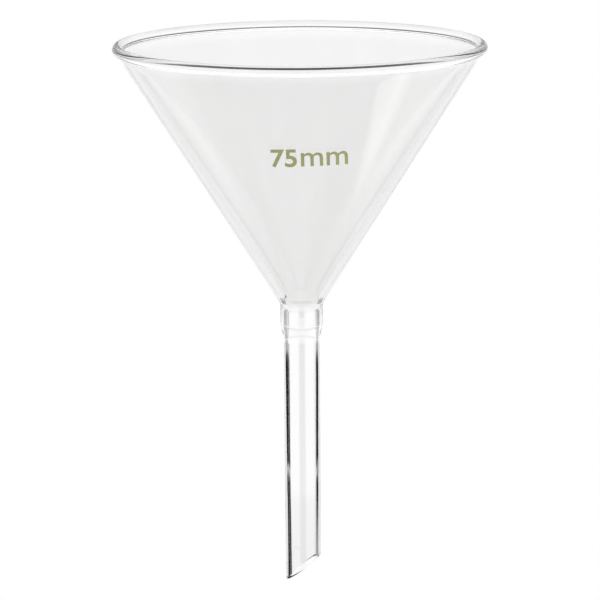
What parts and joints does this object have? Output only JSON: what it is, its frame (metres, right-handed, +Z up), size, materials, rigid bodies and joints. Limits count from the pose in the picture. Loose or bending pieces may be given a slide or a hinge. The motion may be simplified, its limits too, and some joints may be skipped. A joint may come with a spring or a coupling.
{
  "type": "conical glass funnel",
  "caption": "Conical glass filter funnel with a beaded rim, a collared neck and a straight narrow stem cut slanting at the tip.",
  "frame": {"origin": "on the ground under the funnel's axis, in the middle of the rim on which it stands", "axes": "+Z up along the axis, from the mouth on the ground to the tip of the stem. +X towards the longer side of the slanting tip."},
  "size_m": [0.075, 0.075, 0.1097],
  "materials": {
    "glass": "clear, fire-polished",
    "enamel": "olive enamel, fired on"
  },
  "bodies": {
    "root": {"funnel": "glass"}
  },
  "joints": []
}
